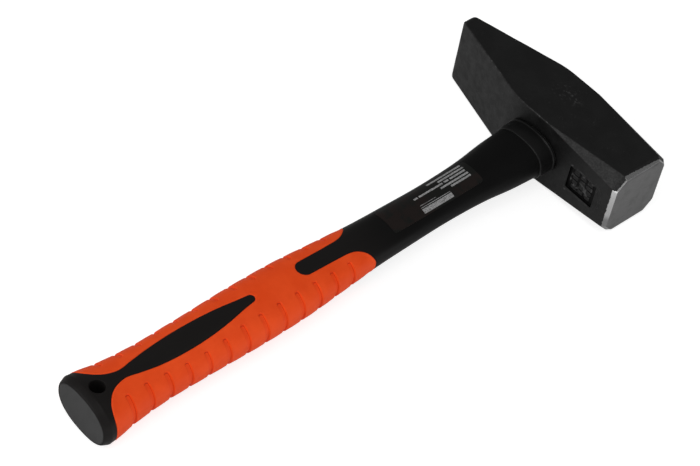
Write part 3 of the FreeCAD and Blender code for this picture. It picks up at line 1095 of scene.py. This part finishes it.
# Blank bars on the label: (across, half-height, distance down from, to).
LINE_HALF = 0.65
LABEL_BARS = [
    (-7.7, LINE_HALF, 77.9, 104.5), (-5.3, LINE_HALF, 77.9, 98.0), (-3.0, LINE_HALF, 78.4, 90.6),
    (-3.0, LINE_HALF, 91.6, 95.0), (-3.0, LINE_HALF, 96.2, 114.9), (-3.0, LINE_HALF, 116.0, 118.9),
    (-0.5, LINE_HALF, 78.2, 100.0), (1.7, LINE_HALF, 78.2, 93.6),
    (6.4, 1.45, 96.6, 119.7), (4.1, 0.2, 96.6, 119.7), (2.6, 0.15, 107.0, 119.0),
]


def bars_mask(n, x, y):
    """1 on the label's blank bars, 0 elsewhere."""
    bars = 0.0
    for across, half, first, last in LABEL_BARS:
        off = n.math("ABSOLUTE", n.math("SUBTRACT", x, across * MM))
        in_width = n.math("LESS_THAN", off, half * MM)
        after = n.math("LESS_THAN", y, -first * MM)
        before = n.math("GREATER_THAN", y, -last * MM)
        bar = n.math("MULTIPLY", in_width, n.math("MULTIPLY", after, before))
        bars = n.math("MAXIMUM", bars, bar)
    return bars


def label_material():
    """Greenish black film, brown in places, with blank light bars where print would be."""
    n = Nodes("label_print")
    x, y = n.axis("X"), n.axis("Y")
    fade = n.noise(7, 3)
    far_patch = n.band(y, -107 * MM, -116 * MM)
    near_patch = n.math("MULTIPLY", n.band(y, -98 * MM, -90 * MM), n.band(x, 1.5 * MM, 4.0 * MM))
    brown = n.math("MULTIPLY", n.math("MAXIMUM", far_patch, near_patch), n.band(fade, 0.36, 0.54))
    greenish = n.mix(fade, (0.0056, 0.0060, 0.0054), (0.0078, 0.0082, 0.0073))
    film = n.mix(brown, greenish, (0.0115, 0.0075, 0.0066))
    print_wear = n.band(n.noise(0.7, 3), 0.38, 0.58, 0.4, 1.0)
    n.set("Base Color", n.mix(n.math("MULTIPLY", bars_mask(n, x, y), print_wear), film, 0.38))
    n.set("Roughness", n.band(fade, 0.3, 0.7, 0.36, 0.48))
    n.set("Specular IOR Level", 0.17)
    n.set("Normal", n.bump(n.noise(0.5, 2), 0.01, 0.4))
    return n.material


def resin_material():
    n = Nodes("resin", Roughness=0.22)
    n.set("Base Color", n.mix(n.noise(4, 3), 0.012, 0.022))
    n.set("Normal", n.bump(n.noise(2.5, 3), 0.12, 0.5))
    return n.material


def fibreglass_material():
    n = Nodes("fibreglass")
    strand = n.band(n.noise(0.5, 3, stretch=(1, 0.03, 1)), 0.35, 0.65)
    n.set("Base Color", n.mix(strand, (0.42, 0.36, 0.16), (0.62, 0.56, 0.32)))
    n.set("Roughness", n.band(strand, 0, 1, 0.4, 0.6))
    n.set("Normal", n.bump(strand, 0.04, 0.5))
    return n.material


def gasket_rubber():
    n = Nodes("gasket_rubber", Roughness=0.8)
    n.set("Base Color", n.mix(n.noise(2, 3), 0.006, 0.012))
    n.set("Normal", n.bump(n.noise(0.5, 2), 0.03, 0.5))
    return n.material


# ---------------------------------------------------------------- assembly

def place(piece, node, material):
    piece.data.materials.clear()
    piece.data.materials.append(material)
    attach(piece, "root")
    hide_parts(node)


def dress(node, material):
    """Gives a CAD node that stays in the picture model a better material."""
    piece = frame["nodes"][node]
    for slot in piece.material_slots:
        slot.material = material


place(hammer_head(), "hammer_head", head_material())
place(collar(), "neck_collar", black_plastic("collar_plastic", rough=0.34, ior=1.3))
place(shaft_jacket(), "shaft_jacket", black_plastic("jacket_plastic"))
place(grip_sleeve(), "grip_sleeve", orange_rubber())
place(end_cap(), "end_cap", cap_plastic())
place(label_film(), "label_film", label_material())
dress("eye_resin", resin_material())
dress("fibreglass_core", fibreglass_material())
dress("eye_gasket", gasket_rubber())


# ---------------------------------------------------------------- floor, light and camera

def floor_glow(n):
    """How brightly the floor lights the hammer: more beyond the striking face than elsewhere."""
    x = n.axis("X")
    beside = n.band(n.math("SUBTRACT", x, n.axis("Y")), 0.108, 0.135)
    beyond_face = n.math("MULTIPLY", beside, n.band(x, 0.045, 0.065))
    return n.band(beyond_face, 0.0, 1.0, 0.22, 0.9)


def floor():
    """Pale table, tilted so that it touches the cheek's edge and the butt."""
    butt_edge = BUTT - 4
    tilt = math.atan2(JACKET_LOW[2], butt_edge - HALF_TALL)
    bpy.ops.mesh.primitive_plane_add(size=12)
    table = bpy.context.object
    table.name = "floor"
    table.rotation_euler = (-tilt, 0, 0)
    table.location = (0, -HALF_TALL * MM, -0.0002)
    n = Nodes("floor", Roughness=0.9)
    n.set("Base Color", n.mix(n.noise(40, 2), 0.50, 0.52))
    n.set("Emission Color", (1, 1, 1))
    seen = n.add("ShaderNodeLightPath").outputs["Is Camera Ray"]
    brightness_to_camera = 0.78
    n.set("Emission Strength", n.mix(seen, floor_glow(n), brightness_to_camera))
    table.data.materials.append(n.material)


def area_light(name, spot, size, power):
    """White rectangular lamp that points at the middle of the hammer."""
    hammer_middle = Vector((0, -0.16, 0.02))
    light = bpy.data.lights.new(name, "AREA")
    light.shape = "RECTANGLE"
    light.size, light.size_y = size
    light.energy = power
    lamp = bpy.data.objects.new(name, light)
    lamp.location = spot
    lamp.rotation_euler = (hammer_middle - Vector(spot)).to_track_quat("-Z", "Y").to_euler()
    bpy.context.scene.collection.objects.link(lamp)


def camera():
    """The photograph's viewpoint, as solved from the head's edges and the handle's outline."""
    data = bpy.data.cameras.new("camera")
    data.sensor_width = 36
    data.lens = 103.44
    view = bpy.data.objects.new("camera", data)
    azimuth, elevation, roll = (math.radians(angle) for angle in (40.401, 48.626, 10.884))
    ahead = Vector((-math.sin(azimuth) * math.cos(elevation), math.cos(azimuth) * math.cos(elevation),
                    -math.sin(elevation)))
    view.rotation_mode = "QUATERNION"
    view.rotation_quaternion = ahead.to_track_quat("-Z", "Y") @ Quaternion((0, 0, 1), roll)
    view.location = (0.47748, -0.73327, 0.85634 + AXIS_Z * MM)
    bpy.context.scene.collection.objects.link(view)
    bpy.context.scene.camera = view


def world():
    """Even white light from all round."""
    scene_world = bpy.data.worlds.new("studio")
    bpy.context.scene.world = scene_world
    scene_world.use_nodes = True
    background = scene_world.node_tree.nodes["Background"]
    background.inputs["Color"].default_value = (1, 1, 1, 1)
    background.inputs["Strength"].default_value = 0.25


floor()
world()
area_light("front_soft", (-0.35, -1.3, 0.75), (1.6, 0.9), 9)
area_light("right_soft", (1.3, -0.3, 0.8), (1.0, 1.0), 3)
area_light("top_soft", (0.45, -0.45, 1.7), (0.8, 0.8), 6)
camera()
bpy.context.scene.view_settings.view_transform = "Standard"
